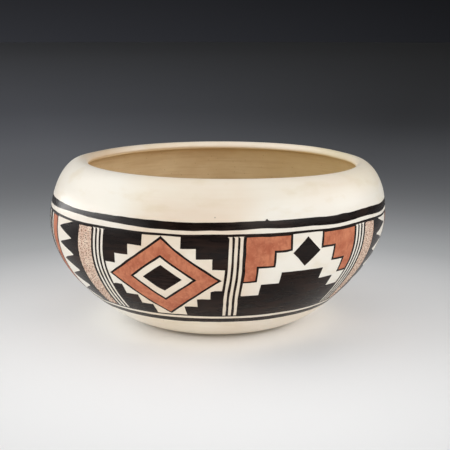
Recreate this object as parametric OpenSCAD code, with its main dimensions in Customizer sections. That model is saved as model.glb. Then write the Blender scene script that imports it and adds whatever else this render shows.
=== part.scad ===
// Painted pottery bowl, coiled by hand: a pressed base, coils of clay, a cream slip and painted bands.
// Millimetres. Z runs up through the middle of the bowl, Z = 0 is the floor, and the front faces -Y.

/* [Bowl] */
// Greatest width, over the slip
bowl_d = 234; // [220:1:250]
// Height to the top of the lip, over the slip
bowl_h = 113; // [106:0.5:122]
// Height at which the bowl is widest
belly_h = 72.5; // [66:0.5:78]
// Width across the top of the lip
crest_d = 192.5; // [184:0.5:200]
// Thickness of the clay
wall = 6.5; // [5:0.5:8]
// Radius at which the sweep of the lower wall would reach the floor
sweep_r = 59.5; // [55:0.5:64]
// How the lower wall swings in towards the foot, where 2 is a parabola
sweep_power = 1.93; // [1.8:0.01:2.1]
// Height at which the rounded foot turns into the wall
foot_rise = 4; // [3:0.5:5]

/* [Clay coils] */
// Height of the base's turned-up edge, on the outside
base_rise = 12; // [8:0.5:16]
// How far a seam climbs from the outside of the wall to the inside
seam_lap = 5; // [2:0.5:8]

/* [Slip] */
// Thickness of the slip
slip = 0.4; // [0.2:0.05:0.6]
// Height above the floor at which the slip begins
slip_foot_h = 2.2; // [1.6:0.1:3]
// How far the slip goes on round the lip, past its innermost point, in degrees
slip_turn = 20; // [0:5:45]

/* [Painted lines] */
// Thickness of the paint
paint = 0.15; // [0.1:0.05:0.3]
// Drop from the clay lip to the upper edge of the shoulder band
band_drop = 22.6; // [18:0.1:26]
// Width of the shoulder band
band_w = 5.2; // [3:0.1:7]
// Bare slip between the shoulder band and the line under it
line_gap = 2.4; // [1.5:0.1:4]
// Width of the thin lines above and below the panels
line_w = 1.3; // [0.8:0.1:2]
// Height of the ground line's lower edge
ground_line_h = 19.8; // [16:0.1:24]
// Width of the ground line
ground_line_w = 3.6; // [2:0.1:5]
// Bare slip between the ground line and the line over it
ground_gap = 3.4; // [2:0.1:5]

/* [Painted panels] */
// Number of panels round the bowl
panel_count = 8; // [6:1:10]
// Angle of the first divider, from the front towards the right
first_divider = -39.6; // [-45:0.1:0]
// Width of a divider's lines
divider_line_w = 1.1; // [0.7:0.1:1.6]
// Bare slip between a divider's lines
divider_gap = 2.3; // [1.5:0.1:3]

/* [Panel figures] */
// Reach of the lozenge to each side, as a share of half a panel
lozenge_a = 0.82; // [0.7:0.01:0.86]
// Reach of the lozenge up and down, as a share of the panel's height
lozenge_v = 0.48; // [0.4:0.01:0.49]
// Hole in the red lozenge, as a share of the lozenge
lozenge_hole = 0.58; // [0.5:0.01:0.7]
// Black heart of the lozenge, as a share of the lozenge
lozenge_heart = 0.34; // [0.2:0.01:0.4]
// Steps in a corner beside a lozenge or over a terrace
corner_steps_n = 4; // [3:1:5]
// Tiers of a terrace
tier_n = 4; // [3:1:4]
// Height of a tier, as a share of the panel's height
tier_v = 0.14; // [0.1:0.01:0.15]
// Width lost at each tier, as a share of half a panel
tier_a = 0.27; // [0.2:0.01:0.27]
// Teeth in a row
tooth_n = 5; // [3:1:7]
// Foot of the teeth, as a share of half a panel from its middle
tooth_foot = 0.46; // [0.4:0.01:0.5]
// Tip of the teeth, as a share of half a panel from its middle
tooth_tip = 0.02; // [0:0.01:0.1]

/* [Hidden] */
$fn = 96;

clay_colour = "#B4926C";
slip_colour = "#F2EAD8";
black_colour = "#2A2220";
red_colour = "#C0704F";
stipple_colour = "#C7A48C";

clay_r = bowl_d / 2 - slip;
clay_h = bowl_h - slip;
crest_r = crest_d / 2;
reach = bowl_d;

// The lower wall sweeps out from the floor by a power curve, and meets the floor in a rounded foot
sweep = clay_r - sweep_r;
function sweep_at(z) = clay_r - sweep * pow(1 - z / belly_h, sweep_power);
function sweep_slope(z) = sweep * sweep_power / belly_h * pow(1 - z / belly_h, sweep_power - 1);
foot_turn = atan(1 / sweep_slope(foot_rise));
foot_round = foot_rise / (1 - cos(foot_turn));
foot_r = sweep_at(foot_rise) - foot_round * sin(foot_turn);

// The upper wall is a quarter of an ellipse, from the widest place to the top of the lip
over_r = clay_r - crest_r;
over_h = clay_h - belly_h;

// Stations up the outer face of the clay: radius, height, and the direction in which layers build on it
foot_steps = 3;
sweep_steps = 10;
over_steps = 10;
stations = concat(
    [for (i = [0 : foot_steps - 1])
        let (t = foot_turn * i / foot_steps)
        [foot_r + foot_round * sin(t), foot_round * (1 - cos(t)), sin(t), -cos(t)]],
    [for (i = [0 : sweep_steps - 1])
        let (z = foot_rise + (belly_h - foot_rise) * i / sweep_steps, m = sweep_slope(z))
        [sweep_at(z), z, 1 / norm([1, m]), -m / norm([1, m])]],
    [for (i = [0 : over_steps])
        let (t = 90 * i / over_steps)
        [crest_r + over_r * cos(t), belly_h + over_h * sin(t), cos(t), sin(t)]]);

// Point of the layer that lies d outside the clay's outer face, at the spot where that face is h high
function face(h, d) = [
    lookup(h, [for (s = stations) [s[1], s[0] + d * s[2]]]),
    lookup(h, [for (s = stations) [s[1], s[1] + d * s[3]]])];

// Points up that layer from h1 to h2, with every station between them
function run(h1, h2, d) = concat(
    [face(h1, d)],
    [for (s = stations) if (s[1] > h1 + 0.01 && s[1] < h2 - 0.01) face(s[1], d)],
    [face(h2, d)]);

function reversed(list) = [for (i = [len(list) - 1 : -1 : 0]) list[i]];

// All but the first point, which the stretch of outline before it already ends on
function onward(list) = [for (i = [1 : len(list) - 1]) list[i]];

// Height reached by going w up the outer face from height h
rises = [for (i = [1 : len(stations) - 1])
    let (p = stations[i - 1], q = stations[i])
    [(p[1] + q[1]) / 2, (q[1] - p[1]) / norm([q[0] - p[0], q[1] - p[1]])]];
function climb(h, w) = h + w * lookup(h + w / 2, rises);

// The lip closes the wall with a half round, cut in two where the slip ends
lip_steps = 6;
slip_edge = 180 + slip_turn;
function lip_arc(t1, t2, d) = [for (i = [0 : lip_steps])
    let (t = t1 + (t2 - t1) * i / lip_steps, r = wall / 2 + d)
    [crest_r + r * cos(t), clay_h - wall / 2 + r * sin(t)]];

// Heights of the seams between the coils, even from the base to the lip
coil_count = 5;
coil_h = (clay_h - base_rise) / coil_count;
function seam_h(i) = base_rise + i * coil_h;

// Heights of the painted edges, from the shoulder band down and from the ground line up
band_top_h = clay_h - band_drop;
band_low_h = climb(band_top_h, -band_w);
line_top_h = climb(band_low_h, -line_gap);
panel_top_h = climb(line_top_h, -line_w);
ground_top_h = climb(ground_line_h, ground_line_w);
rule_low_h = climb(ground_top_h, ground_gap);
panel_low_h = climb(rule_low_h, line_w);

divider_pitch = divider_line_w + divider_gap;
divider_half = 1.5 * divider_pitch + divider_line_w / 2;
panel_angle = 360 / panel_count;

// Spot on a panel: a runs from -1 at its left divider to 1 at its right, v from 0 at its foot to 1 at the top
function spot(a, v) =
    let (h = panel_low_h + v * (panel_top_h - panel_low_h))
    [a * face(h, 0)[0] * sin(panel_angle / 2), h];
function spots(list) = [for (p = list) spot(p[0], p[1])];

// Past the panel's own edges, so that a field is cut off by the panel and not by its own outline
over_a = 1.15;
over_v = 0.1;

// Section through one layer, from h1 to h2 up the wall and from d1 to d2 outside the clay
module layer_section(h1, h2, d1, d2)
    polygon(concat(run(h1, h2, d2), reversed(run(h1, h2, d1))));

module painted_ring(h1, h2)
    color(black_colour) rotate_extrude() layer_section(h1, h2, slip, slip + paint);

module coil(i)
    color(clay_colour) rotate_extrude()
        polygon(concat(
            run(seam_h(i), seam_h(i + 1), 0),
            reversed(run(seam_h(i) + seam_lap, seam_h(i + 1) + seam_lap, -wall))));

// Stretch of the paint layer over one panel's height, half as wide as given to each side of the front
module paint_layer(half_angle)
    rotate_extrude(start = 270 - half_angle, angle = 2 * half_angle)
        layer_section(panel_low_h, panel_top_h, slip, slip + paint);

// Room between two dividers, seen from above
module panel_room() {
    apex = divider_half / sin(panel_angle / 2);
    side = reach * tan(panel_angle / 2);
    linear_extrude(height = bowl_h)
        polygon([[0, -apex], [side, -apex - reach], [-side, -apex - reach]]);
}

// The flat outline given as a child, painted onto panel k, with x along the panel and y up the wall
module on_panel(k)
    rotate([0, 0, first_divider + (k + 0.5) * panel_angle])
        intersection() {
            paint_layer(panel_angle / 2);
            panel_room();
            rotate([90, 0, 0]) linear_extrude(height = reach) children();
        }

// The panels go round in fours: a lozenge, a terrace, a row of teeth and its mirror image
module on_panels(kind)
    for (k = [kind : 4 : panel_count - 1])
        on_panel(k) children();

module lozenge(middle_v, half_a, half_v)
    polygon(spots([
        [0, middle_v - half_v], [half_a, middle_v], [0, middle_v + half_v], [-half_a, middle_v]]));

// Steps that rise from a panel's corner, in all wide_a along the panel and high_v up it
function steps(n, wide_a, high_v) = concat(
    [[0, -over_v]],
    [for (i = [0 : n - 1], j = [0, 1])
        [wide_a * (n - i) / n, i + j == 0 ? -over_v : high_v * (i + j) / n]],
    [[0, high_v]]);

// Those steps in the corner at side -1 or 1, standing on the foot of the panel or hanging from its top
module corner(side, hanging, wide_a, high_v)
    polygon([for (p = steps(corner_steps_n, wide_a, high_v))
        spot(side * (over_a - p[0]), hanging ? 1 - p[1] : p[1])]);

// Upright bar over the panel's whole height
module bar(a1, a2)
    polygon(spots([[a1, -over_v], [a2, -over_v], [a2, 1 + over_v], [a1, 1 + over_v]]));

module base_pat()
    color(clay_colour) rotate_extrude()
        polygon(concat(
            [[0, 0]],
            run(0, base_rise, 0),
            reversed(run(0, base_rise + seam_lap, -wall)),
            [[0, wall]]));

module lower_coil() coil(0);

module belly_coil() coil(1);

module shoulder_coil() coil(2);

module upper_coil() coil(3);

module rim_coil()
    color(clay_colour) rotate_extrude()
        polygon(concat(
            run(seam_h(coil_count - 1), clay_h, 0),
            onward(lip_arc(90, slip_edge, 0)),
            onward(lip_arc(slip_edge, 270, 0)),
            onward(reversed(run(seam_h(coil_count - 1) + seam_lap, clay_h, -wall)))));

module cream_slip()
    color(slip_colour) rotate_extrude()
        polygon(concat(
            run(slip_foot_h, clay_h, slip),
            onward(lip_arc(90, slip_edge, slip)),
            reversed(lip_arc(90, slip_edge, 0)),
            onward(reversed(run(slip_foot_h, clay_h, 0)))));

module shoulder_band() painted_ring(band_low_h, band_top_h);

module panel_top_line() painted_ring(panel_top_h, line_top_h);

module panel_foot_line() painted_ring(rule_low_h, panel_low_h);

module ground_line() painted_ring(ground_line_h, ground_top_h);

module divider_lines()
    color(black_colour)
        for (k = [0 : panel_count - 1], i = [0 : 3])
            rotate([0, 0, first_divider + k * panel_angle])
                intersection() {
                    paint_layer(panel_angle / 4);
                    translate([(i - 1.5) * divider_pitch - divider_line_w / 2, -reach, 0])
                        cube([divider_line_w, reach, bowl_h]);
                }

module lozenge_red()
    color(red_colour) on_panels(0)
        difference() {
            lozenge(0.5, lozenge_a, lozenge_v);
            lozenge(0.5, lozenge_a * lozenge_hole, lozenge_v * lozenge_hole);
        }

module lozenge_black()
    color(black_colour) on_panels(0) {
        lozenge(0.5, lozenge_a * lozenge_heart, lozenge_v * lozenge_heart);
        for (side = [-1, 1], hanging = [false, true])
            corner(side, hanging, 0.86, 0.48);
    }

// A terrace stands on the panel's foot, under a small lozenge that hangs between two stepped corners
module terrace_black()
    color(black_colour) on_panels(1) {
        for (i = [0 : tier_n - 1]) {
            wide_a = over_a - tier_a * i;
            low_v = i == 0 ? -over_v : tier_v * i;
            top_v = tier_v * (i + 1);
            polygon(spots([[-wide_a, low_v], [wide_a, low_v], [wide_a, top_v], [-wide_a, top_v]]));
        }
        lozenge(0.79, 0.21, 0.16);
    }

module terrace_red()
    color(red_colour) on_panels(1)
        for (side = [-1, 1])
            corner(side, true, 0.9, 0.7);

// Teeth point away from a side bar; the other half of the panel has upright bars
bar_a = 0.62;
module teeth_black()
    color(black_colour)
        for (side = [-1, 1])
            on_panels(side < 0 ? 2 : 3) {
                bar(side * bar_a, side * (tooth_foot - 0.02));
                for (i = [0 : tooth_n - 1])
                    polygon(spots([
                        [side * tooth_foot, i / tooth_n],
                        [side * tooth_tip, (i + 0.5) / tooth_n],
                        [side * tooth_foot, (i + 1) / tooth_n]]));
                bar(side * -0.46, side * -0.6);
                bar(side * -0.7, side * -over_a);
            }

module teeth_stipple()
    color(stipple_colour)
        for (side = [-1, 1])
            on_panels(side < 0 ? 2 : 3)
                bar(side * bar_a, side * over_a);

module bars_red()
    color(red_colour)
        for (side = [-1, 1])
            on_panels(side < 0 ? 2 : 3)
                bar(side * -0.12, side * -0.36);

base_pat();
lower_coil();
belly_coil();
shoulder_coil();
upper_coil();
rim_coil();
cream_slip();
shoulder_band();
panel_top_line();
panel_foot_line();
ground_line();
divider_lines();
lozenge_red();
lozenge_black();
terrace_black();
terrace_red();
teeth_black();
teeth_stipple();
bars_red();
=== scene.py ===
import math
import random

import bmesh
import bpy
import numpy as np
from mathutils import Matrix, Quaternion, Vector, noise
from mathutils.geometry import delaunay_2d_cdt


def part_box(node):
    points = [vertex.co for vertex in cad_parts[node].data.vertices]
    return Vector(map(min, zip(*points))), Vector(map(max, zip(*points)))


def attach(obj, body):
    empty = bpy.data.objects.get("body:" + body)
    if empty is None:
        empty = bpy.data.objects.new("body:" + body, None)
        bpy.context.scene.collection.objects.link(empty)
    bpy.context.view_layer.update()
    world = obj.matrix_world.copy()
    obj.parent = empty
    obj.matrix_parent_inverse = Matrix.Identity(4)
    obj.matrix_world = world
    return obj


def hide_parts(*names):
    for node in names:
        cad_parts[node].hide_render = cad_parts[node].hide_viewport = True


# A hand-coiled pottery bowl: bare clay inside, a stone-polished cream slip outside, and brushed panels on it.
# Working sizes are in millimetres, and become metres where a mesh is made.
# The angle round the bowl is 0 at the front, towards -Y, and grows towards the right, +X.

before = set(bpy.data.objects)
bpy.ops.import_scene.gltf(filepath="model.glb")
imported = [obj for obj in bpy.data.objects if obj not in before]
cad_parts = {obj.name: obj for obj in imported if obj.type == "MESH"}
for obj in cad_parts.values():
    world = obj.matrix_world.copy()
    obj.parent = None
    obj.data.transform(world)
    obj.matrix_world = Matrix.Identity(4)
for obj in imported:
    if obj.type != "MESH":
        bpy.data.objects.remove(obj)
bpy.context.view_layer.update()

MM = 0.001
CLAY_NODES = ["base_pat", "lower_coil", "belly_coil", "shoulder_coil", "upper_coil", "rim_coil"]

slip_low, slip_high = (np.array(corner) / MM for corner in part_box("cream_slip"))
BOWL_R = (slip_high[0] - slip_low[0]) / 2
BOWL_H = slip_high[2]


# Outlines, read from the frame

LEAST_BEND = 0.3       # degrees: an outline that bends by less at a point has no corner there
START_Y = 1e-6         # metres: a turned mesh starts its turn where y is less than this
CURVE_STEP = 0.1       # between the points of a smooth curve


def without_straights(points):
    """Drops the points at which an outline has no corner."""
    kept = [points[0]]
    for here, after in zip(points[1:-1], points[2:]):
        a = np.subtract(here, kept[-1])
        b = np.subtract(after, here)
        bend = math.degrees(math.atan2(a[0] * b[1] - a[1] * b[0], a @ b))
        if abs(bend) > LEAST_BEND:
            kept.append(here)
    return kept + [points[-1]]


def walked(edges):
    """Points along edges that form one line, or one closed loop, which then repeats its start."""
    near = {}
    for a, b in sorted(edges):
        near.setdefault(a, []).append(b)
        near.setdefault(b, []).append(a)
    ends = sorted(p for p in near if len(near[p]) == 1)
    walk = [ends[0] if ends else min(near)]
    while near[walk[-1]]:
        onward = near[walk[-1]].pop()
        near[onward].remove(walk[-1])
        walk.append(onward)
    return walk


def section(node):
    """Corners of a turned node's outline, as (radius, height), read where its mesh starts its turn."""
    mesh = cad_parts[node].data
    cut = {}
    for v in mesh.vertices:
        if abs(v.co.y) < START_Y and v.co.x > 0:
            cut[v.index] = (round(v.co.x / MM, 2), round(v.co.z / MM, 2))
    edges = set()
    for edge in mesh.edges:
        a, b = (cut.get(i) for i in edge.vertices)
        if a and b and a != b:
            edges.add((min(a, b), max(a, b)))
    return without_straights(walked(edges))


class Curve:
    """A smooth curve through corners of an outline, measured in millimetres along it."""

    def __init__(self, corners):
        p = np.array(corners)
        reach = np.r_[0, np.cumsum(np.linalg.norm(np.diff(p, axis=0), axis=1))]
        slope = np.gradient(p, reach, axis=0)
        fine = np.arange(0, reach[-1], CURVE_STEP)
        i = np.searchsorted(reach, fine, side="right") - 1
        h = np.diff(reach)[i][:, None]
        u = (fine - reach[i])[:, None] / h
        bends = (2 * u ** 3 - 3 * u ** 2 + 1) * p[i] + (3 * u ** 2 - 2 * u ** 3) * p[i + 1]
        bends += h * ((u ** 3 - 2 * u ** 2 + u) * slope[i] + (u ** 3 - u ** 2) * slope[i + 1])
        self.points = np.vstack([bends, p[-1:]])
        self.along = np.r_[0, np.cumsum(np.linalg.norm(np.diff(self.points, axis=0), axis=1))]
        self.length = self.along[-1]
        self.crest = self.along[np.argmax(self.points[:, 1])]
        tangent = np.gradient(self.points, self.along, axis=0)
        self.normals = np.stack([tangent[:, 1], -tangent[:, 0]], axis=1)

    def at(self, t, lift=0.0):
        """(radius, height) at t along the curve, lifted off its right-hand side."""
        r, z, nr, nz = (np.interp(t, self.along, c) for c in (*self.points.T, *self.normals.T))
        return np.stack([r + lift * nr, z + lift * nz], axis=-1)

    def nearest(self, radius, height):
        """How far along the curve the point lies that is nearest to this one."""
        return self.along[np.argmin(np.hypot(self.points[:, 0] - radius, self.points[:, 1] - height))]


def coat_faces():
    """The slip's outer and inner face, from its foot to the lip. Its two ends are its shortest edges."""
    loop = section("cream_slip")[:-1]
    lengths = [math.dist(p, q) for p, q in zip(loop, loop[1:] + loop[:1])]
    first, second = sorted(np.argsort(lengths)[:2])
    faces = [loop[first + 1:second + 1], loop[second + 1:] + loop[:first + 1]]
    upward = [face if face[0][1] < face[-1][1] else face[::-1] for face in faces]
    return sorted(upward, key=lambda face: -max(face)[0])


def clay_seams():
    """Edges that neighbouring clay pieces share, from the lowest up, and those that meet the air or slip."""
    edges = [{(min(e), max(e)) for e in zip(loop, loop[1:])} for loop in map(section, CLAY_NODES)]
    shared = [max(lower & upper, key=lambda e: math.dist(*e)) for lower, upper in zip(edges, edges[1:])]
    return shared, set().union(*edges) - set(shared)


slip_outer, slip_inner = (Curve(face) for face in coat_faces())
seams, clay_skin = clay_seams()
clay_wall = Curve(without_straights(walked(clay_skin)))
FOOT_R = clay_wall.points[0][0]
MOUTH_R = max(section("cream_slip"), key=lambda corner: corner[1])[0]     # at the crest of the lip


# The hand of the potter

LEAN = 4.3             # the lip stands so far to the right of the foot
SAG = 1.7              # the lip sags so far at its right
SAG_AT = 70            # degrees round the bowl where it sags most
DIP_FRONT = 0.3        # the lip dips by so much at the front
DIP_BACK = 1.0         # and at the back
DIP_FULL = 0.45        # in full from so far behind the middle, as a share of the radius
BULGE = 1.25           # the right side is fuller by so much above the bulge's middle, and slacker below it
BULGE_MID = 70         # height of that middle
FOOT_TUCK = 6.5        # the foot is tucked in by so much
FOOT_TUCK_H = 16       # up to this height
FOOT_OFF = 3.2         # and lies so far to the right
FOOT_FORE = 2.0        # and so far to the front
FOOT_OFF_H = 45        # which is lost by this height
MOUTH_OFF = 1.6        # the mouth lies so far off the middle, to the right
MOUTH_WIDE = 0.4       # and is wider by so much there
MOUTH_BLEND = 8        # this comes in over so much of the radius, across the lip's crest
MOUTH_DEEP = 30        # and is lost so far below it

# The lip is out of round by so much, in waves: how many round the bowl, where they start, and their share
OUT_OF_ROUND = 0.5
SWELLS = [(2, 0.7, 1.0), (3, -1.1, 0.6)]

# Soft dents, so deep: how many round the bowl, where they start, and the height that winds them by a radian
DENT = 0.1
BROAD_DENTS = (5, 1.3, 14)
BROAD_RISE = (0.5, 8)        # the broad ones also come and go up the wall: where that starts, and its height
FINE_DENTS = (9, 2.0, -11)
FINE_SHARE = 0.7             # the fine ones grow to this share of the depth at the lip


def share(x):
    """A share, kept between 0 and 1."""
    return np.clip(x, 0, 1)


def eased(x):
    """A share that starts and ends gently."""
    return share(x) ** 2 * (3 - 2 * share(x))


def dented(a, z):
    """How far soft dents stand off the round wall."""
    broad, fine = (np.sin(count * a + start + z / rise) for count, start, rise in (BROAD_DENTS, FINE_DENTS))
    start, rise = BROAD_RISE
    return DENT * (broad * np.sin(start + z / rise) + FINE_SHARE * fine * (z / BOWL_H))


def hand_built(p):
    """Moves points as coiling by hand does: a slight lean, a sagging lip, an uneven round and soft dents."""
    x, y, z = p[..., 0], p[..., 1], p[..., 2]
    r = np.hypot(x, y)
    a = np.arctan2(x, -y)
    up = z / BOWL_H
    swell = OUT_OF_ROUND * up * sum(part * np.sin(count * a + start) for count, start, part in SWELLS)
    bulge = BULGE * share(np.sin(a)) ** 2 * np.sin(math.pi * (z / BULGE_MID - 1))
    tuck = FOOT_TUCK * share(1 - z / FOOT_TUCK_H) ** 3 * BOWL_R / FOOT_R
    grown = r + (swell + dented(a, z) + bulge - tuck) * share(r / BOWL_R)
    sag = SAG * share(np.cos(a - math.radians(SAG_AT))) ** 3 * up ** 2
    dip = DIP_FRONT * share(np.cos(a)) ** 1.5 + DIP_BACK * eased(-np.cos(a) / DIP_FULL)
    in_mouth = eased((MOUTH_R - r) / MOUTH_BLEND + 0.5) * eased((z - BOWL_H) / MOUTH_DEEP + 1)
    mouth_off = (MOUTH_OFF + MOUTH_WIDE * np.sin(a)) * in_mouth
    near_foot = share(1 - z / FOOT_OFF_H) ** 2
    across = grown * np.sin(a) + LEAN * (up - 0.5) + mouth_off + FOOT_OFF * near_foot
    behind = -grown * np.cos(a) - FOOT_FORE * near_foot
    return np.stack([across, behind, z - sag - dip * up ** 4], axis=-1)


WAVES = 6              # a wandering line adds up so many waves
WAVE_SPREAD = (0.5, 1.6)     # whose swings number between such shares of its own


def wander(a, size, seed):
    """A wandering line round the bowl, between about -1 and 1, whose swings are so many millimetres long."""
    draw = random.Random(seed)
    swings = 2 * math.pi * BOWL_R / size
    waves = []
    for _ in range(WAVES):
        count = max(1, round(swings * draw.uniform(*WAVE_SPREAD)))
        waves.append((count, draw.uniform(0, 2 * math.pi)))
    return sum(np.sin(count * a + start) for count, start in waves) / (WAVES / 2)


def soft_spots(a, spots):
    """Soft spots round the bowl, each of so much, at and over so many degrees."""
    around = (np.degrees(a) + 180) % 360 - 180
    return sum(much * np.exp(-((around - at) / spread) ** 2) for much, at, spread in spots)


def turn_round(rz, a):
    """Points in the bowl's frame from (radius, height) and angle."""
    return np.stack([rz[..., 0] * np.sin(a), -rz[..., 0] * np.cos(a), rz[..., 1]], axis=-1)


def on_slip(a, t, lift=0.0):
    """Points so far up the slip's outer face, lifted off it."""
    return turn_round(slip_outer.at(t, lift), a)


WANDER_SIZE = 26.0     # painted edges wander together over about this length
WANDER = 0.75          # and by so much
DROOPS = [(0.45, -12, 30), (2.1, 84, 18)]     # the upper lines droop so far, at and over so many degrees
SWELL_SIZE = 7.0       # the brush presses harder and softer over about this length
SWELL = 0.2            # and widens a field by so much
noise.seed_set(8)      # so that it wanders alike each time


def strayed(a, t):
    """Where the painter's hand puts a spot of the pattern, as (angle, way up). Neighbours move alike."""
    places = on_slip(a, t)
    moves = [noise.noise_vector(Vector(p / WANDER_SIZE)) for p in places.reshape(-1, 3)]
    stray = np.array(moves).reshape(places.shape) * WANDER
    up = t + stray[..., 1] - soft_spots(a, DROOPS) * places[..., 2] / BOWL_H
    return a + stray[..., 0] / np.hypot(places[..., 0], places[..., 1]), up


def pressed(a, t, seed):
    """How hard the brush presses at a spot, between about -1 and 1."""
    places = on_slip(a, t).reshape(-1, 3)
    return np.array([noise.noise(Vector(p / SWELL_SIZE + seed)) for p in places]).reshape(np.shape(t))


# Materials

BLUSH_H = 78           # the slip blushes most at this height, just below the broad band
BELLY_H = 62           # the painted sheen on the slip is whitest at this height
SHEEN_FROM = -14       # and away from this place across the bowl
OLIVE_FROM = -15       # the clay turns from tan to olive from this place across the bowl
OLIVE_FULL = 85        # to this one
DULL_H = 60            # the black is dull up to this height
SATIN_H = 81           # and satin from this one


def colour(code):
    """An sRGB hex value as linear red, green, blue and alpha."""
    parts = [int(code[i:i + 2], 16) / 255 for i in (1, 3, 5)]
    return (*[c / 12.92 if c <= 0.04045 else ((c + 0.055) / 1.055) ** 2.4 for c in parts], 1.0)


def add(tree, kind, links=None, **settings):
    """Adds a shader node with its settings, and gives each input that is named a value or a link."""
    made = tree.nodes.new("ShaderNode" + kind)
    for name, value in settings.items():
        setattr(made, name, value)
    for name, value in (links or {}).items():
        if isinstance(value, bpy.types.NodeSocket):
            tree.links.new(value, made.inputs[name])
        else:
            made.inputs[name].default_value = value
    return made


def blank(name):
    """A new material, its empty tree, and the place on the piece in metres."""
    material = bpy.data.materials.new(name)
    material.use_nodes = True
    tree = material.node_tree
    tree.nodes.clear()
    return material, tree, add(tree, "TexCoord").outputs["Object"]


def per_mm(wide, high):
    """Scale of a pattern whose patches are so many millimetres wide, and high up the wall."""
    return (1 / (wide * MM), 1 / (wide * MM), 1 / (high * MM))


def blushes(tree, where, side):
    """How much the slip blushes: in patches, and most under the broad band."""
    over_band = add(tree, "Math", {0: side.outputs["Z"], 1: BLUSH_H * MM}, operation="SUBTRACT")
    off_band = add(tree, "Math", {0: over_band.outputs[0]}, operation="ABSOLUTE")
    most = add(tree, "MapRange", {
        "Value": off_band.outputs[0], "From Min": 3 * MM, "From Max": 26 * MM, "To Min": 0.95, "To Max": 0.3})
    patch_at = add(tree, "Mapping", {"Vector": where, "Scale": per_mm(60, 30)})
    patch = add(tree, "TexNoise", {"Vector": patch_at.outputs[0], "Scale": 1, "Detail": 3})
    return add(tree, "MapRange", {
        "Value": patch.outputs["Fac"], "From Min": 0.3, "From Max": 0.66, "To Max": most.outputs[0]})


def painted_side_sheen(tree, side):
    """How much a painted sheen whitens the slip: at its sides, and less at the right of its lip and foot."""
    over_belly = add(tree, "Math", {0: side.outputs["Z"], 1: BELLY_H * MM}, operation="SUBTRACT")
    off_belly = add(tree, "Math", {0: over_belly.outputs[0]}, operation="ABSOLUTE")
    at_ends = add(tree, "MapRange", {
        "Value": side.outputs["X"], "From Max": 40 * MM, "To Min": 0.7, "To Max": 0.15})
    most = add(tree, "MapRange", {
        "Value": off_belly.outputs[0], "From Min": 33 * MM, "From Max": 44 * MM,
        "To Min": 0.7, "To Max": at_ends.outputs[0]})
    from_middle = add(tree, "Math", {0: side.outputs["X"], 1: SHEEN_FROM * MM}, operation="SUBTRACT")
    off_middle = add(tree, "Math", {0: from_middle.outputs[0]}, operation="ABSOLUTE")
    return add(tree, "MapRange", {
        "Value": off_middle.outputs[0], "From Min": 27 * MM, "From Max": 47 * MM, "To Max": most.outputs[0]})


def ash_specks(tree, where):
    """How much ash lies on the slip: some specks, each as strong as its lot."""
    # Ash specks are about 0.2 mm wide. They are drawn three times as wide, so that they show.
    speck = add(tree, "TexVoronoi", {"Vector": where, "Scale": 1 / (11 * MM)})
    size = add(tree, "MapRange", {
        "Value": speck.outputs["Distance"], "From Min": 0.025, "From Max": 0.05, "To Min": 1, "To Max": 0})
    lot = add(tree, "SeparateColor", {"Color": speck.outputs["Color"]})
    strength = add(tree, "MapRange", {
        "Value": lot.outputs["Red"], "From Min": 0.6, "From Max": 1, "To Max": 0.7})
    return add(tree, "Math", {0: size.outputs[0], 1: strength.outputs[0]}, operation="MULTIPLY")


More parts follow.
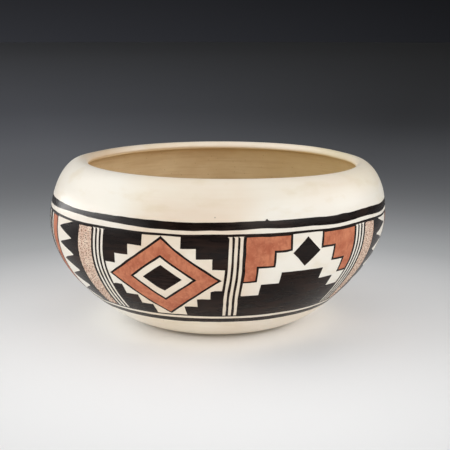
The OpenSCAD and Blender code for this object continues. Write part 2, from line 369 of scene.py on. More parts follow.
def polished_slip():
    # Fine white clay rubbed with a river stone and fired in the open: cream, with yellower patches, peach
    # blushes that are strongest under the broad band, and faint smudges; its sides are whiter with a painted
    # sheen. The stone leaves level strokes in a soft sheen, and the fire specks of ash. The clay shows where
    # the slip thins out, tan at the left and olive at the right, and its colour is painted in as shade at the
    # back of the lip on either side.
    material, tree, where = blank("stone_polished_cream_slip")
    side = add(tree, "SeparateXYZ", {"Vector": where})
    stroke_at = add(tree, "Mapping", {"Vector": where, "Scale": per_mm(42, 2.4)})
    stroke = add(tree, "TexNoise", {"Vector": stroke_at.outputs[0], "Scale": 1, "Detail": 2})
    tone = add(tree, "Mix", {
        "Factor": stroke.outputs["Fac"], "A": colour("#F0E4CF"), "B": colour("#F6EDDD")}, data_type="RGBA")

    yellow_at = add(tree, "Mapping", {"Vector": where, "Scale": per_mm(95, 60), "Location": (5, 2, 8)})
    yellow = add(tree, "TexNoise", {"Vector": yellow_at.outputs[0], "Scale": 1, "Detail": 2})
    yellow_much = add(tree, "MapRange", {
        "Value": yellow.outputs["Fac"], "From Min": 0.45, "From Max": 0.75, "To Max": 0.25})
    smudge_at = add(tree, "Mapping", {"Vector": where, "Scale": per_mm(17, 7), "Location": (3, 7, 1)})
    smudge = add(tree, "TexNoise", {"Vector": smudge_at.outputs[0], "Scale": 1, "Detail": 3})
    smudge_much = add(tree, "MapRange", {
        "Value": smudge.outputs["Fac"], "From Min": 0.53, "From Max": 0.72, "To Max": 0.27})
    # The whitened sides are a painted sheen, not the slip's own colour.
    layers = [
        (yellow_much, "#ECDDB2"), (blushes(tree, where, side), "#E6C4A6"),
        (painted_side_sheen(tree, side), "#F3F0E6"), (smudge_much, "#DECBA6"),
        (ash_specks(tree, where), "#7C6A56")]
    for much, code in layers:
        tone = add(tree, "Mix", {
            "Factor": much.outputs[0], "A": tone.outputs["Result"], "B": colour(code)}, data_type="RGBA")

    # The clay's colour comes in where the slip thins out, and as painted shade at the back of the lip.
    thin = add(tree, "Attribute", attribute_name="thin")
    right = add(tree, "MapRange", {
        "Value": side.outputs["X"], "From Min": OLIVE_FROM * MM, "From Max": OLIVE_FULL * MM})
    clay = add(tree, "Mix", {
        "Factor": right.outputs[0], "A": colour("#CDAA7E"), "B": colour("#CDBE8A")}, data_type="RGBA")
    tone = add(tree, "Mix", {
        "Factor": thin.outputs["Fac"], "A": tone.outputs["Result"], "B": clay.outputs["Result"]},
        data_type="RGBA")

    sheen = add(tree, "MapRange", {"Value": stroke.outputs["Fac"], "To Min": 0.38, "To Max": 0.27})
    ridges = add(tree, "Bump", {"Height": stroke.outputs["Fac"], "Distance": 0.006 * MM})
    shader = add(tree, "BsdfPrincipled", {
        "Base Color": tone.outputs["Result"], "Roughness": sheen.outputs[0], "IOR": 1.52,
        "Normal": ridges.outputs[0]})
    add(tree, "OutputMaterial", {"Surface": shader.outputs["BSDF"]})
    return material


def scraped_clay():
    # Buff clay, scraped with a gourd rind, wiped wet and fired: warm tan, more olive to the right, with dull
    # cloudy patches, level drag lines, dark grit, and pores darkened with painted shade, and no shine.
    material, tree, where = blank("scraped_buff_clay")
    cloud_at = add(tree, "Mapping", {"Vector": where, "Scale": per_mm(24, 14)})
    cloud = add(tree, "TexNoise", {"Vector": cloud_at.outputs[0], "Scale": 1, "Detail": 4})
    cloud_much = add(tree, "MapRange", {
        "Value": cloud.outputs["Fac"], "From Min": 0.35, "From Max": 0.65})
    tone = add(tree, "Mix", {
        "Factor": cloud_much.outputs[0], "A": colour("#D3B991"), "B": colour("#E0CAA4")}, data_type="RGBA")

    side = add(tree, "SeparateXYZ", {"Vector": where})
    right = add(tree, "MapRange", {
        "Value": side.outputs["X"], "From Min": OLIVE_FROM * MM, "From Max": OLIVE_FULL * MM, "To Max": 0.55})
    drag_at = add(tree, "Mapping", {"Vector": where, "Scale": per_mm(38, 1.6)})
    drag = add(tree, "TexNoise", {"Vector": drag_at.outputs[0], "Scale": 1, "Detail": 3})
    drag_much = add(tree, "MapRange", {
        "Value": drag.outputs["Fac"], "From Min": 0.5, "From Max": 0.75, "To Max": 0.3})
    # Pores and grit are about 0.3 mm wide. They are drawn twice as wide, so that they show. The grit is
    # darker in its own colour; the pores are darkened with painted shade in their pits.
    pore = add(tree, "TexVoronoi", {"Vector": where, "Scale": 1 / (4.5 * MM)})
    pits_and_grit = add(tree, "MapRange", {
        "Value": pore.outputs["Distance"], "From Min": 0.05, "From Max": 0.14, "To Min": 0.35, "To Max": 0})
    for much, code in ((right, "#C6B07A"), (drag_much, "#B3916A"), (pits_and_grit, "#8A6544")):
        tone = add(tree, "Mix", {
            "Factor": much.outputs[0], "A": tone.outputs["Result"], "B": colour(code)}, data_type="RGBA")

    relief = add(tree, "Math", {0: drag.outputs["Fac"], 1: pits_and_grit.outputs[0]}, operation="SUBTRACT")
    marks = add(tree, "Bump", {"Height": relief.outputs[0], "Distance": 0.15 * MM})
    dullness = add(tree, "MapRange", {"Value": cloud.outputs["Fac"], "To Min": 0.74, "To Max": 0.9})
    shader = add(tree, "BsdfPrincipled", {
        "Base Color": tone.outputs["Result"], "Roughness": dullness.outputs[0], "IOR": 1.45,
        "Normal": marks.outputs[0]})
    add(tree, "OutputMaterial", {"Surface": shader.outputs["BSDF"]})
    return material


def satin_black():
    # Boiled plant juice ground up with iron ore, brushed on the polished slip: brown-black, browner where the
    # brush ran thin. It is a dense satin film at the shoulder. Below, it fired porous and throws little light
    # back, so its IOR there is that of a film full of air.
    material, tree, where = blank("brushed_iron_black")
    stroke_at = add(tree, "Mapping", {"Vector": where, "Scale": per_mm(14, 2.2)})
    stroke = add(tree, "TexNoise", {"Vector": stroke_at.outputs[0], "Scale": 1, "Detail": 3})
    load_at = add(tree, "Mapping", {"Vector": where, "Scale": per_mm(22, 16)})
    load = add(tree, "TexNoise", {"Vector": load_at.outputs[0], "Scale": 1, "Detail": 2})
    thin = add(tree, "Math", {0: stroke.outputs["Fac"], 1: load.outputs["Fac"]}, operation="MULTIPLY")
    thin_much = add(tree, "MapRange", {"Value": thin.outputs[0], "From Min": 0.2, "From Max": 0.42})
    tone = add(tree, "Mix", {
        "Factor": thin_much.outputs[0], "A": colour("#150B07"), "B": colour("#2B1A12")}, data_type="RGBA")
    satin = add(tree, "MapRange", {"Value": stroke.outputs["Fac"], "To Min": 0.2, "To Max": 0.36})
    film = add(tree, "Bump", {"Height": stroke.outputs["Fac"], "Distance": 0.03 * MM})
    height = add(tree, "SeparateXYZ", {"Vector": where})
    density = add(tree, "MapRange", {
        "Value": height.outputs["Z"], "From Min": DULL_H * MM, "From Max": SATIN_H * MM,
        "To Min": 1.21, "To Max": 1.44})
    shader = add(tree, "BsdfPrincipled", {
        "Base Color": tone.outputs["Result"], "Roughness": satin.outputs[0], "IOR": density.outputs[0],
        "Normal": film.outputs[0]})
    add(tree, "OutputMaterial", {"Surface": shader.outputs["BSDF"]})
    return material


def ochre_red():
    # Yellow ochre clay that fires brick red, washed on with a chewed leaf: cloudy, darker where one stroke
    # laps another, with paler grains, and almost dull.
    material, tree, where = blank("fired_red_ochre")
    cloud_at = add(tree, "Mapping", {"Vector": where, "Scale": per_mm(9, 6)})
    cloud = add(tree, "TexNoise", {"Vector": cloud_at.outputs[0], "Scale": 1, "Detail": 3})
    cloud_much = add(tree, "MapRange", {
        "Value": cloud.outputs["Fac"], "From Min": 0.34, "From Max": 0.66})
    tone = add(tree, "Mix", {
        "Factor": cloud_much.outputs[0], "A": colour("#B36040"), "B": colour("#CC7E5A")}, data_type="RGBA")
    lap_at = add(tree, "Mapping", {
        "Vector": where, "Scale": per_mm(2.2, 6), "Rotation": (0, math.radians(35), 0)})
    lap = add(tree, "TexNoise", {"Vector": lap_at.outputs[0], "Scale": 1, "Detail": 2})
    lap_much = add(tree, "MapRange", {
        "Value": lap.outputs["Fac"], "From Min": 0.48, "From Max": 0.66, "To Max": 0.5})
    # Grains of ochre are about 0.1 mm wide. Clusters of 1.5 mm stand for them, so that they show.
    grain = add(tree, "TexNoise", {"Vector": where, "Scale": 1 / (1.5 * MM), "Detail": 3})
    grain_much = add(tree, "MapRange", {
        "Value": grain.outputs["Fac"], "From Min": 0.5, "From Max": 0.7, "To Max": 0.4})
    for much, code in ((lap_much, "#A35436"), (grain_much, "#D88E68")):
        tone = add(tree, "Mix", {
            "Factor": much.outputs[0], "A": tone.outputs["Result"], "B": colour(code)}, data_type="RGBA")
    dullness = add(tree, "MapRange", {"Value": cloud.outputs["Fac"], "To Min": 0.48, "To Max": 0.66})
    film = add(tree, "Bump", {"Height": grain.outputs["Fac"], "Distance": 0.04 * MM})
    shader = add(tree, "BsdfPrincipled", {
        "Base Color": tone.outputs["Result"], "Roughness": dullness.outputs[0], "IOR": 1.45,
        "Normal": film.outputs[0]})
    add(tree, "OutputMaterial", {"Surface": shader.outputs["BSDF"]})
    return material


def dabbed_brown():
    # The red wash darkened with black and dabbed on with a stiff brush: dull dots, some redder, some browner.
    material, tree, where = blank("dabbed_brown_wash")
    dab = add(tree, "TexNoise", {"Vector": where, "Scale": 1 / (2.4 * MM), "Detail": 2})
    dab_much = add(tree, "MapRange", {"Value": dab.outputs["Fac"], "From Min": 0.35, "From Max": 0.65})
    tone = add(tree, "Mix", {
        "Factor": dab_much.outputs[0], "A": colour("#6A4636"), "B": colour("#A06E56")}, data_type="RGBA")
    dullness = add(tree, "MapRange", {"Value": dab.outputs["Fac"], "To Min": 0.5, "To Max": 0.7})
    shader = add(tree, "BsdfPrincipled", {
        "Base Color": tone.outputs["Result"], "Roughness": dullness.outputs[0], "IOR": 1.45})
    add(tree, "OutputMaterial", {"Surface": shader.outputs["BSDF"]})
    return material


def pink_wash():
    # The red ochre thinned with water until the cream shows through: a pale, streaky, dull pink.
    material, tree, where = blank("thinned_ochre_wash")
    streak_at = add(tree, "Mapping", {"Vector": where, "Scale": per_mm(3, 8)})
    streak = add(tree, "TexNoise", {"Vector": streak_at.outputs[0], "Scale": 1, "Detail": 3})
    streak_much = add(tree, "MapRange", {
        "Value": streak.outputs["Fac"], "From Min": 0.35, "From Max": 0.65})
    tone = add(tree, "Mix", {
        "Factor": streak_much.outputs[0], "A": colour("#D3B29C"), "B": colour("#E8D2BD")}, data_type="RGBA")
    dullness = add(tree, "MapRange", {"Value": streak.outputs["Fac"], "To Min": 0.42, "To Max": 0.58})
    shader = add(tree, "BsdfPrincipled", {
        "Base Color": tone.outputs["Result"], "Roughness": dullness.outputs[0], "IOR": 1.45})
    add(tree, "OutputMaterial", {"Surface": shader.outputs["BSDF"]})
    return material


slip_finish = polished_slip()
clay_finish = scraped_clay()
black_finish = satin_black()
red_finish = ochre_red()
stipple_finish = dabbed_brown()
wash_finish = pink_wash()


# Pieces

def piece(name, points, faces, material, slot, stands_for=(), sharp=40, thin=None):
    """A piece of the bowl from points in millimetres, shaped by hand, finished and tied to the frame.

    Its edges look sharp from so many degrees. Where it is thin, it shows what lies under it."""
    mesh = bpy.data.meshes.new(name)
    mesh.from_pydata((hand_built(np.asarray(points).reshape(-1, 3)) * MM).tolist(), [], faces)
    skin = bmesh.new()
    skin.from_mesh(mesh)
    bmesh.ops.recalc_face_normals(skin, faces=skin.faces)
    skin.to_mesh(mesh)
    skin.free()
    mesh.polygons.foreach_set("use_smooth", [True] * len(mesh.polygons))
    mesh.set_sharp_from_angle(angle=math.radians(sharp))
    mesh.materials.append(material)
    if thin is not None:
        mesh.attributes.new("thin", "FLOAT", "POINT").data.foreach_set("value", np.ravel(thin))
    obj = bpy.data.objects.new(name, mesh)
    bpy.context.scene.collection.objects.link(obj)
    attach(obj, "root")
    if stands_for:
        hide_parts(*stands_for)


def ring_faces(turns, rows, closed=True):
    """Quads between neighbouring outlines of so many rows, all the way round."""
    faces = []
    for j in range(turns):
        here = j * rows
        after = (j + 1) % turns * rows
        for i in range(rows if closed else rows - 1):
            up = (i + 1) % rows
            faces.append((here + i, after + i, after + up, here + up))
    return faces


def angles(turns):
    """Angles of the outlines of a turned piece, one row each."""
    return np.linspace(-math.pi, math.pi, turns, endpoint=False)[:, None]


def stretch(start, end, step):
    """Places from start to end, no more than a step apart."""
    return np.linspace(start, end, max(2, math.ceil(abs(end - start) / step) + 1))


# Clay

CLAY_TURNS = 300       # outlines round a clay piece
CLAY_STEP = 1.5        # between the points of an outline
LIP_STEP = 0.6         # steps are finer round the lip
LIP_OUT = 8            # from so far outside its crest
LIP_IN = 14            # to so far inside it
FLAT_ROWS = 20         # rows across the flat of the base, from its middle
CLAY_SHARP = 30        # degrees
SCRAPE = 0.16          # depth of the marks that scraping leaves inside
UNSCRAPED = 22         # it starts so far below the lip
SCRAPED = 40           # and has its full depth so much further down
SMOOTHED = 30          # and is smoothed out again over the last stretch of the floor
UNDERCUT = 1.0         # the scraper leaves the lip undercut by so much, just below the edge of the slip
UNDERCUT_IN = 2.2      # it comes in over this stretch
UNDERCUT_OUT = 14      # and runs out over this one

# Length along the turn, seed, rise in which it turns by a radian, and where it starts
HOLLOWS = [(90, 3, 4.7, 0.0), (60, 4, 3.1, 1 + math.pi / 2)]


def scraped(t, a):
    """How far the scraped inside stands off its true face: level hollows, stretched along the turn."""
    depth = share((t - clay_wall.crest - UNSCRAPED) / SCRAPED) * share((clay_wall.length - t) / SMOOTHED)
    hollows = sum(wander(a, size, seed) * np.sin(t / rise + start) for size, seed, rise, start in HOLLOWS)
    past_slip = t - clay_wall.nearest(*slip_inner.points[-1])
    cut = share(past_slip / UNDERCUT_IN) * share(1 - past_slip / UNDERCUT_OUT)
    return SCRAPE * depth * hollows - UNDERCUT * eased(cut)


def coil(t, a):
    """Points and faces of a ring of clay with such places round its outline."""
    rz = clay_wall.at(t + 0 * a, scraped(t, a))
    return turn_round(rz, a), ring_faces(CLAY_TURNS, len(t))


def base(t, a):
    """Points and faces of the base: its turned-up edge, and its two flats with a point in the middle."""
    edge = clay_wall.at(t + 0 * a, scraped(t, a))
    inward = np.linspace(0, 1, FLAT_ROWS)[:, None]
    under = inward * edge[:, :1] * [1, 0] + edge[:, :1] * [0, 1]
    over = inward[::-1] * edge[:, -1:] * [1, 0] + edge[:, -1:] * [0, 1]
    rz = np.concatenate([under[:, 1:-1], edge, over[:, 1:-1]], axis=1)
    rows = rz.shape[1]
    points = np.vstack([turn_round(rz, a).reshape(-1, 3), [0, 0, rz[0, 0, 1]], [0, 0, rz[0, -1, 1]]])
    faces = ring_faces(CLAY_TURNS, rows, closed=False)
    for middle, row in ((len(points) - 2, 0), (len(points) - 1, rows - 1)):
        faces += [(middle, j * rows + row, (j + 1) % CLAY_TURNS * rows + row) for j in range(CLAY_TURNS)]
    return points, faces


def clay_pieces():
    """The base and the coils, each from its lower seam to its upper one, outside and inside."""
    a = angles(CLAY_TURNS)
    outside, inside = zip(*(sorted(clay_wall.nearest(*end) for end in seam) for seam in seams))
    lip_out = clay_wall.crest - LIP_OUT
    lip_in = clay_wall.crest + LIP_IN
    shapes = [base(np.r_[
        stretch(0, outside[0], CLAY_STEP), stretch(inside[0], clay_wall.length, CLAY_STEP)], a)]
    for i in range(1, len(seams)):
        shapes.append(coil(np.r_[
            stretch(outside[i - 1], outside[i], CLAY_STEP), stretch(inside[i], inside[i - 1], CLAY_STEP)], a))
    shapes.append(coil(np.r_[
        stretch(outside[-1], lip_out, CLAY_STEP), stretch(lip_out, lip_in, LIP_STEP)[1:],
        stretch(lip_in, inside[-1], CLAY_STEP)[1:]], a))
    for node, (points, faces) in zip(CLAY_NODES, shapes):
        piece(f"clay.{node}", points, faces, clay_finish, "fired_clay", [node], sharp=CLAY_SHARP)


# Slip

SLIP_TURNS = 480       # outlines round the slip
SLIP_STEP = 1.2        # between the points of an outline
SLIP_LIP_STEP = 0.5    # steps are finer over the last stretch, round the lip
SLIP_LIP = 20          # length of that stretch
SLIP_BACK_STEP = 3.0   # steps of the hidden face, against the clay
EDGE_SHORT = 0.45      # inside the lip the slip ends short by so much, least at the right
EDGE_WANDER = 0.3      # its edge wanders by so much
EDGE_SWING = 85        # over about this length
EDGE_EASE = 8          # and the stretch below it takes that up
FEATHER = 1.6          # the slip thins out over its last stretch
FEATHER_DEEP = 0.36    # by so much
FADE = 1.2             # and the clay begins to show through over this one
FADE_SHARE = 0.6       # up to this share
LIP_SHADE_RAMP = 3.0        # painted shade: the lip takes the clay's colour from its crest on, which comes in over this stretch
LIP_SHADE_SPOTS = [(0.65, -112, 31), (0.5, 116, 20)]    # by so much, at and over so many degrees


def slip_coat():
    """The slip over the outside and round the lip, where it ends in an uneven, feathered edge."""
    a = angles(SLIP_TURNS)
    end = slip_outer.length
    up = np.r_[stretch(0, end - SLIP_LIP, SLIP_STEP), stretch(end - SLIP_LIP, end, SLIP_LIP_STEP)[1:]]
    down = stretch(slip_inner.length, 0, SLIP_BACK_STEP)
    short = EDGE_SHORT * (1 - np.sin(a)) + EDGE_WANDER * wander(a, EDGE_SWING, seed=5)
    short = np.clip(short, 0, None)
    outer_t = up - short * share((up - end) / EDGE_EASE + 1)
    inner_t = down - short * share((down - slip_inner.length) / EDGE_EASE + 1)
    feather = FEATHER_DEEP * share((up - end) / FEATHER + 1) ** 2
    rz = np.concatenate([slip_outer.at(outer_t, 0 * a - feather), slip_inner.at(inner_t, 0 * a)], axis=1)
    way = np.r_[up, down + end - slip_inner.length]
    faded = FADE_SHARE * share((way - end) / FADE + 1)
    # Painted shade at the back of the lip, left and right, goes into the same attribute and mixes in the
    # clay's colour.
    lip_shade = soft_spots(a, LIP_SHADE_SPOTS) * share((way - slip_outer.crest) / LIP_SHADE_RAMP + 1)
    faces = ring_faces(SLIP_TURNS, rz.shape[1])
    piece("slip.cream_slip", turn_round(rz, a), faces, slip_finish, "cream_slip", ["cream_slip"],
          thin=1 - (1 - faded) * (1 - lip_shade))


clay_pieces()
slip_coat()


# Painted lines round the bowl

SUNK = 0.06            # paint reaches so far into the slip
RING_TURNS = 720       # outlines round a painted line
RING_ROWS = 5          # rows across a line
SLOW_SHARE = 0.7       # of the hand's waver
QUICK_SHARE = 0.3
LOW_SWINGS = (60, 16)  # lengths of the slow and the quick waver of a line's lower edge
HIGH_SWINGS = (70, 14)     # and of its upper one


def reach_up(node):
    """Lowest and highest place of a painted ring up the slip."""
    places = [slip_outer.nearest(*corner) for corner in section(node)]
    return min(places), max(places)


def wavering(a, t, swings, unsteady, seed):
    """Way up an edge drawn round the bowl: it strays with the pattern, and the hand wavers."""
    slow, quick = swings
    waver = SLOW_SHARE * wander(a, slow, seed) + QUICK_SHARE * wander(a, quick, seed + 1)
    return strayed(a, t + 0 * a)[1] + unsteady * waver


def painted_ring(node, lift, unsteady, seed, lapses=(), bold=0.0):
    """A line drawn round the bowl by hand. Its edges waver by so many millimetres, and slip up at each lapse.

    The brush spreads it by its boldness on each side."""
    a = angles(RING_TURNS)
    low, high = reach_up(node)
    low = wavering(a, low - bold, LOW_SWINGS, unsteady, seed)
    high = wavering(a, high + bold, HIGH_SWINGS, unsteady, seed + 2)
    for edge, at, spread, rise in lapses:
        lapse = rise * np.exp(-((a - math.radians(at)) * BOWL_R / spread) ** 2)
        low = low + lapse * (edge == "low")
        high = high + lapse * (edge == "high")
    across = low + (high - low) * np.linspace(0, 1, RING_ROWS)
    t = np.concatenate([low, across, high], axis=1)
    lifts = np.r_[-SUNK, [lift] * RING_ROWS, -SUNK] + 0 * a
    faces = ring_faces(RING_TURNS, t.shape[1])
    piece(f"paint.{node}", on_slip(a, t, lifts), faces, black_finish, "black_paint", [node])


# Edge, degrees, spread and rise in millimetres
BAND_LAPSES = [
    ("high", 14.6, 0.65, 1.5), ("high", 42, 4, 0.4), ("high", -12, 22, -0.5), ("low", 14, 11, 0.9),
    ("low", -50, 37, 2.1)]

painted_ring("shoulder_band", lift=0.12, unsteady=0.2, seed=10, lapses=BAND_LAPSES)
painted_ring("panel_top_line", lift=0.1, unsteady=0.1, seed=20, bold=0.1)
painted_ring("panel_foot_line", lift=0.1, unsteady=0.1, seed=30)
painted_ring("ground_line", lift=0.11, unsteady=0.2, seed=40, bold=0.6)


# Painted fields

BRUSH_STEP = 1.2       # between the points along a field's edge
FILL_STEP = 3.0        # and inside it
LEAST_STEP = 0.4       # corners nearer to each other than this are one
SAME_PLACE = 1e-5      # points of a field nearer than this are one
FACES_OUT = 0.7        # share of the slip's direction outward in that of a face which meets the air
LEAST_BISECTOR = 1.2   # of two unit steps; a sharper corner is blunted
FIELD_SEED = 50
LINE_SEED = 90
LINE_PRESS = 0.25      # the brush widens an outline by this share
RED_LIFT = 0.09        # each paint stands so far off the slip
BLACK_LIFT = 0.11
WASH_LIFT = 0.06
OUTLINE_LIFT = 0.13
RED_OUTLINE = 1.35     # width of the line round a red field
STIPPLE_OUTLINE = 0.9  # and round the dotted one
RED_NODES = ["lozenge_red", "terrace_red", "bars_red"]

# The black fields, and how far they bleed past their edges
BLACK_BLEED = {"divider_lines": 0.2, "lozenge_black": 0.35, "terrace_black": 0.35, "teeth_black": 0.35}


def outer_edges(mesh):
    """Edges round the faces of a painted solid that meet the air, each in the direction of its face."""
    edges = set()
    for face in mesh.polygons:
        x, y, z = face.center / MM
        r = math.hypot(x, y)
        t = slip_outer.nearest(r, z)
        nr, nz = slip_outer.at(t, 1.0) - slip_outer.at(t)
        if face.normal.dot(Vector((nr * x / r, nr * y / r, nz))) > FACES_OUT:
            corners = [tuple(mesh.vertices[i].co) for i in face.vertices]
            edges |= set(zip(corners, corners[1:] + corners[:1]))
    return {(p, q) for p, q in edges if (q, p) not in edges}


def loops_of(edges):
    """Closed loops that directed edges form."""
    onward = {}
    for p, q in sorted(edges):
        onward.setdefault(p, []).append(q)
    loops = []
    while onward:
        start = min(onward)
        loop = [start]
        while True:
            here = loop[-1]
            following = onward[here].pop()
            if not onward[here]:
                del onward[here]
            if following == start:
                break
            loop.append(following)
        loops.append(loop)
    return loops


def unrolled(loop):
    """A loop of points in the frame as rows of (angle, way up the slip), with no jump in the angle."""
    rows = []
    for x, y, z in (np.array(p) / MM for p in loop):
        rows.append((math.atan2(x, -y), slip_outer.nearest(math.hypot(x, y), z)))
    rows = np.array(rows)
    rows[:, 0] = np.unwrap(rows[:, 0])
    ahead = np.roll(rows, -1, axis=0) - rows
    return rows[np.hypot(ahead[:, 0] * BOWL_R, ahead[:, 1]) > LEAST_STEP]


def area(loop):
    """Area inside a loop, below zero if it is a hole."""
    a, t = loop.T
    return 0.5 * np.sum(a * np.roll(t, -1) - np.roll(a, -1) * t)


def inside(points, loops):
    """Which points lie inside an odd number of loops."""
    x, y = np.asarray(points).T
    odd = np.zeros(len(x), bool)
    for loop in loops:
        for (x1, y1), (x2, y2) in zip(loop, np.roll(loop, -1, axis=0)):
            if y1 != y2:
                odd ^= ((y1 > y) != (y2 > y)) & (x < (x2 - x1) * (y - y1) / (y2 - y1) + x1)
    return odd


def fields_of(node):
    """The separate fields of a painted node, each its outer loop and the holes in it."""
    loops = [unrolled(loop) for loop in loops_of(outer_edges(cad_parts[node].data))]
    fields = [[loop] for loop in loops if area(loop) > 0]
    for hole in (loop for loop in loops if area(loop) < 0):
        for field in fields:
            turns = np.round((field[0][:, 0].mean() - hole[:, 0].mean()) / (2 * math.pi))
            shifted = hole + [2 * math.pi * turns, 0]
            if inside(shifted[:1], field[:1])[0]:
                field.append(shifted)
    return fields


def along_brush(loop):
    """Points of a loop no more than a brush step apart, with its own corners kept."""
    points = []
    for p, q in zip(loop, np.roll(loop, -1, axis=0)):
        r = slip_outer.at((p[1] + q[1]) / 2)[0]
        n = max(1, math.ceil(math.hypot(r * (q[0] - p[0]), q[1] - p[1]) / BRUSH_STEP))
        points += [p + (q - p) * i / n for i in range(n)]
    return np.array(points)


def sideways(loop):
    """For each point of a loop, a step of a millimetre to its right, which is outward, as (angle, way up)."""
    r = slip_outer.at(loop[:, 1])[:, 0]
    ahead = np.roll(loop, -1, axis=0) - loop
    ahead[:, 0] *= r
    ahead /= np.linalg.norm(ahead, axis=1)[:, None]
    bisector = ahead + np.roll(ahead, 1, axis=0)
    size = np.maximum(np.linalg.norm(bisector, axis=1), LEAST_BISECTOR)[:, None]
    bisector *= 2 / size ** 2
    return np.stack([bisector[:, 1] / r, -bisector[:, 0]], axis=1)


def hand_drawn(loop, bleed=0.0):
    """A loop as a hand paints it: it wanders, the brush presses harder and softer, and the paint bleeds."""
    drawn = along_brush(loop)
    press = bleed + SWELL * pressed(*drawn.T, seed=FIELD_SEED)
    return np.stack(strayed(*drawn.T), axis=1) + sideways(drawn) * press[:, None]


def lattice(low, high, step):
    """Points a step apart over a flat box."""
    across, up = np.meshgrid(*(np.arange(start, end, step) for start, end in zip(low, high)))
    return np.stack([across.ravel(), up.ravel()], axis=1)


def filled(field, lift):
    """Points and faces of a thin painted solid inside the loops of a field."""
    flat = [np.float32(loop * [BOWL_R, 1]).astype(float) for loop in field]
    corners = np.vstack(flat)
    within = lattice(corners.min(axis=0), corners.max(axis=0), FILL_STEP)
    within = within[inside(within, flat)]
    within = [p for p in within if np.min(np.linalg.norm(corners - p, axis=1)) > BRUSH_STEP]
    edges = []
    for loop in flat:
        n = len(edges)
        edges += [(n + i, n + (i + 1) % len(loop)) for i in range(len(loop))]
    places = [Vector(p) for p in [*corners, *within]]
    verts, _, faces, *_ = delaunay_2d_cdt(places, edges, [], 0, SAME_PLACE)
    verts = np.array(verts)
    faces = np.array(faces)
    faces = faces[inside(verts[faces].mean(axis=1), flat)]
    used, faces = np.unique(faces, return_inverse=True)
    faces = faces.reshape(-1, 3).tolist()
    a, t = verts[used].T / np.array([[BOWL_R], [1]])
    points = np.vstack([on_slip(a, t, lift), on_slip(a, t, -SUNK)])
    n = len(used)
    sides = set()
    for i, j, k in faces:
        sides |= {(i, j), (j, k), (k, i)}
    walls = [(j, i, i + n, j + n) for i, j in sorted(sides) if (j, i) not in sides]
    return points, faces + [[k + n, j + n, i + n] for i, j, k in faces] + walls


def joined(parts):
    """Points and faces of several parts as one."""
    points = []
    faces = []
    n = 0
    for part_points, part_faces in parts:
        points.append(part_points)
        faces += [[i + n for i in face] for face in part_faces]
        n += len(part_points)
    return np.vstack(points), faces


def painted_fields(node, lift, bleed, material, slot):
    """Paints the fields of a node, and gives back their loops as they were drawn."""
    fields = [[hand_drawn(loop, bleed) for loop in field] for field in fields_of(node)]
    piece(f"paint.{node}", *joined(filled(field, lift) for field in fields), material, slot, [node])
    return fields


def outlined(name, fields, width):
    """Black brush lines along the loops of fields, as wide as given."""
    parts = []
    for loop in (loop for field in fields for loop in field):
        half = (width / 2 * (1 + LINE_PRESS * pressed(*loop.T, seed=LINE_SEED)))[:, None] * sideways(loop)
        edges = [loop + half, loop + half, loop - half, loop - half]
        lifts = [-SUNK, OUTLINE_LIFT, OUTLINE_LIFT, -SUNK]
        rows = [on_slip(e[:, 0], e[:, 1], up) for e, up in zip(edges, lifts)]
        parts.append((np.stack(rows, axis=1).reshape(-1, 3), ring_faces(len(loop), len(rows))))
    piece(name, *joined(parts), black_finish, "black_paint")


for node, bleed in BLACK_BLEED.items():
    painted_fields(node, BLACK_LIFT, bleed, black_finish, "black_paint")
red_fields = {node: painted_fields(node, RED_LIFT, 0.0, red_finish, "red_paint") for node in RED_NODES}
for node, fields in red_fields.items():
    outlined(f"outline.{node}", fields, RED_OUTLINE)


# Stipple

DOT_SPACING = 1.5
DOT_ASTRAY = 0.6       # a dab lands so far from its place at most
DOT_R = (0.22, 0.48)   # least and greatest radius
DOT_LIFT = 0.1
DOT_SIDES = 8
DOT_SEED = 7


def dot(x, y, size):
    """Points and faces of one dab at a place on the unrolled slip."""
    turn = np.linspace(0, 2 * math.pi, DOT_SIDES, endpoint=False)
    a = x / BOWL_R + size * np.cos(turn) / slip_outer.at(y)[0]
    t = y + size * np.sin(turn)
    n = DOT_SIDES
    walls = [[i, (i + 1) % n, (i + 1) % n + n, i + n] for i in range(n)]
    points = np.vstack([on_slip(a, t, DOT_LIFT), on_slip(a, t, -SUNK)])
    return points, [list(range(n)), list(range(2 * n - 1, n - 1, -1)), *walls]


def stippled(node, fields):
    """Dots dabbed all over the fields of a node."""
    draw = random.Random(DOT_SEED)
    dots = []
    for field in fields:
        flat = [loop * [BOWL_R, 1] for loop in field]
        corners = np.vstack(flat)
        dabs = []
        for x, y in lattice(corners.min(axis=0), corners.max(axis=0), DOT_SPACING):
            x += draw.uniform(-DOT_ASTRAY, DOT_ASTRAY)
            y += draw.uniform(-DOT_ASTRAY, DOT_ASTRAY)
            dabs.append((x, y, draw.uniform(*DOT_R)))
        dabs = np.array(dabs)
        dots += [dot(*dab) for dab in dabs[inside(dabs[:, :2], flat)]]
    piece(f"paint.{node}", *joined(dots), stipple_finish, "brown_stipple", [node])


stipple_fields = [[hand_drawn(loop) for loop in field] for field in fields_of("teeth_stipple")]
stippled("teeth_stipple", stipple_fields)
wash = joined(filled(field, WASH_LIFT) for field in stipple_fields)
piece("wash.teeth_stipple", *wash, wash_finish, "brown_stipple")
outlined("outline.teeth_stipple", stipple_fields, STIPPLE_OUTLINE)


# Stage

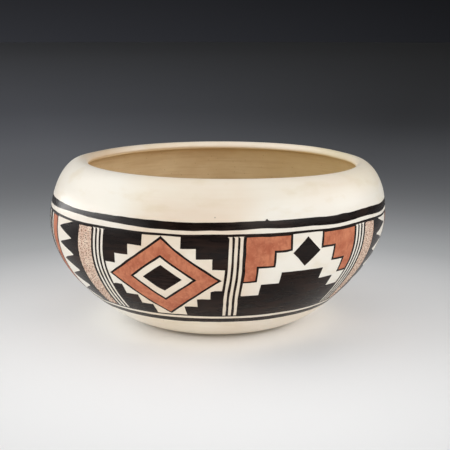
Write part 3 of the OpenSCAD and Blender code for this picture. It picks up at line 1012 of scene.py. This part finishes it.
LIGHT_POOL_MID = (0.0, -0.1, 0.0)     # where the painted pool of light on the paper is brightest, in metres
LIGHT_POOL_HALF = 0.6                 # metres from there at which half the grades are passed
PAPER_AND_LIGHT_TONES = [                  # the paper's tones, with the painted pool of light and its falloff, by metres from there
    (0.0, "#FFFFFF"), (0.05, "#F7F7F7"), (0.1, "#F7F7F7"), (0.16, "#EDEDED"), (0.23, "#DEDEDE"),
    (0.34, "#A7A9AB"), (0.6, "#5F6164"), (1.05, "#53555B"), (1.6, "#3F4148"), (2.1, "#404249"),
    (3.2, "#393B42"), (5.0, "#33353B"), (9.0, "#26272C")]
PAPER_END = ("#292A2E", "#18181A")     # where the paper ends, and the dark above it
DARK_Z = (-0.0235, 0.06)               # upward share of the view at those two
LEFT_X = 0.25                          # far off, it is palest where so much of the view goes left
LIT_LEFT_TONE = 1.45                       # share of its tone there: painted light from the left
SHADED_RIGHT_TONE = 0.56                      # and where as much goes right: painted shade
EVEN = (0.4, 1.5)                      # metres up to which it is even, and from which it isn't
FLOOR_R = 9.0                          # metres
FLOOR_SIDES = 96


def painted_light_paper():
    # Seamless backdrop paper, matt. Its colour holds painted light: palest round the bowl as a painted pool
    # of light, falling off to charcoal far behind it, and with painted shade to the right, as if lit from the
    # left.
    material, tree, where = blank("backdrop_paper_with_painted_light")
    far = add(tree, "VectorMath", {0: where, 1: LIGHT_POOL_MID}, operation="DISTANCE").outputs["Value"]
    past = add(tree, "Math", {0: far, 1: LIGHT_POOL_HALF}, operation="ADD").outputs[0]
    passed = add(tree, "Math", {0: far, 1: past}, operation="DIVIDE").outputs[0]
    tone = add(tree, "ValToRGB", {"Fac": passed})
    tone.color_ramp.interpolation = "B_SPLINE"
    stops = tone.color_ramp.elements
    for i, (metres, code) in enumerate(PAPER_AND_LIGHT_TONES):
        stop = stops[i] if i < 2 else stops.new(1.0)
        stop.position = metres / (metres + LIGHT_POOL_HALF)
        stop.color = colour(code)
    side = add(tree, "SeparateXYZ", {"Vector": where})
    bearing = add(tree, "Math", {0: side.outputs["X"], 1: far}, operation="DIVIDE")
    left = add(tree, "MapRange", {
        "Value": bearing.outputs[0], "From Min": -LEFT_X, "From Max": LEFT_X,
        "To Min": LIT_LEFT_TONE, "To Max": SHADED_RIGHT_TONE})
    side_light = add(tree, "MapRange", {
        "Value": far, "From Min": EVEN[0], "From Max": EVEN[1], "To Min": 1, "To Max": left.outputs[0]})
    paper_with_painted_light = add(tree, "VectorMath", {
        0: tone.outputs["Color"], "Scale": side_light.outputs[0]}, operation="SCALE")
    shader = add(tree, "BsdfPrincipled", {
        "Base Color": paper_with_painted_light.outputs[0], "Roughness": 0.9, "IOR": 1.4})
    add(tree, "OutputMaterial", {"Surface": shader.outputs["BSDF"]})
    return material


def stage_floor():
    """A round of paper under the bowl, far wider than the view."""
    mesh = bpy.data.meshes.new("floor")
    turn = np.linspace(0, 2 * math.pi, FLOOR_SIDES, endpoint=False)
    rim = [(FLOOR_R * math.cos(u), FLOOR_R * math.sin(u), 0) for u in turn]
    mesh.from_pydata(rim, [], [list(range(FLOOR_SIDES))])
    mesh.materials.append(painted_light_paper())
    floor = bpy.data.objects.new("floor", mesh)
    bpy.context.scene.collection.objects.link(floor)


FILL_LOW = 1.4         # strength of the fill at the level of the table
FILL_HIGH = 0.52       # and overhead
FILL_Z = 0.8           # from this upward share of its direction


def studio_air():
    # Even fill for the bowl, mostly from the sides; the eye and mirrors see the dark end of the backdrop,
    # with painted light to its left and painted shade to its right.
    world = bpy.data.worlds.new("studio")
    bpy.context.scene.world = world
    world.use_nodes = True
    tree = world.node_tree
    tree.nodes.clear()
    path = add(tree, "LightPath").outputs
    eye = add(tree, "Math", {
        0: path["Is Camera Ray"], 1: path["Is Glossy Ray"]}, operation="MAXIMUM")
    seen = add(tree, "Math", {
        0: eye.outputs[0], 1: path["Is Transmission Ray"]}, operation="MAXIMUM")
    way = add(tree, "SeparateXYZ", {"Vector": add(tree, "TexCoord").outputs["Generated"]})
    level = add(tree, "MapRange", {
        "Value": way.outputs["Z"], "From Max": FILL_Z, "To Min": FILL_LOW, "To Max": FILL_HIGH})
    fill = add(tree, "Background", {"Color": colour("#FAFAFA"), "Strength": level.outputs[0]})
    above = add(tree, "MapRange", {
        "Value": way.outputs["Z"], "From Min": DARK_Z[0], "From Max": DARK_Z[1]})
    charcoal = add(tree, "Mix", {
        "Factor": above.outputs[0], "A": colour(PAPER_END[0]), "B": colour(PAPER_END[1])}, data_type="RGBA")
    left = add(tree, "MapRange", {
        "Value": way.outputs["X"], "From Min": -LEFT_X, "From Max": LEFT_X,
        "To Min": LIT_LEFT_TONE, "To Max": SHADED_RIGHT_TONE})
    dark = add(tree, "Background", {
        "Color": charcoal.outputs["Result"], "Strength": left.outputs[0]})
    both = add(tree, "MixShader", {0: seen.outputs[0], 1: fill.outputs[0], 2: dark.outputs[0]})
    add(tree, "OutputWorld", {"Surface": both.outputs[0]})


LAMP_AIM = (0, 0, 0.06)      # metres, half way up the bowl


def softbox(name, place, wide, high, watts, roll=0):
    """A lamp of so many metres, turned to the bowl and rolled by so many degrees."""
    lamp = bpy.data.lights.new(name, "AREA")
    lamp.shape = "RECTANGLE"
    lamp.size = wide
    lamp.size_y = high
    lamp.energy = watts
    obj = bpy.data.objects.new(name, lamp)
    obj.location = place
    aim = (Vector(LAMP_AIM) - Vector(place)).to_track_quat("-Z", "Y")
    obj.rotation_euler = (aim @ Quaternion((0, 0, 1), math.radians(roll))).to_euler()
    bpy.context.scene.collection.objects.link(obj)


stage_floor()
studio_air()
softbox("left_strip", (-1.0, 0.16, 0.21), wide=1.2, high=0.15, watts=2.4, roll=13)
softbox("front_strip", (-0.99, -0.57, 0.21), wide=0.6, high=0.15, watts=0.45, roll=13)
softbox("left_panel", (-0.97, 0.04, 0.8), wide=1.5, high=0.8, watts=4.35)
softbox("right_panel", (0.95, -0.48, 0.55), wide=2.5, high=0.6, watts=7.3)


# Camera

LENS = 78.7            # millimetres
SENSOR = 36            # millimetres across
STAND_OFF = 0.702      # metres from the middle of the bowl
LOOK_DOWN = 12.36      # degrees
AIM_H = 0.0564         # metres, height of that middle
PHOTO_SIZE = 450       # pixels
AIM_PIXEL = (216.3, 235.6)     # where the middle of the bowl shows


def camera():
    """A camera in front of the bowl, shifted so that the bowl shows where the photograph has it."""
    lens = bpy.data.cameras.new("camera")
    lens.lens = LENS
    lens.sensor_width = SENSOR
    lens.shift_x = 0.5 - AIM_PIXEL[0] / PHOTO_SIZE
    lens.shift_y = AIM_PIXEL[1] / PHOTO_SIZE - 0.5
    lens.clip_start = 0.01
    lens.clip_end = 50
    down = math.radians(LOOK_DOWN)
    obj = bpy.data.objects.new("camera", lens)
    obj.location = (0, -STAND_OFF * math.cos(down), AIM_H + STAND_OFF * math.sin(down))
    obj.rotation_euler = (math.pi / 2 - down, 0, 0)
    bpy.context.scene.collection.objects.link(obj)
    bpy.context.scene.camera = obj


camera()
bpy.context.scene.view_settings.view_transform = "Standard"
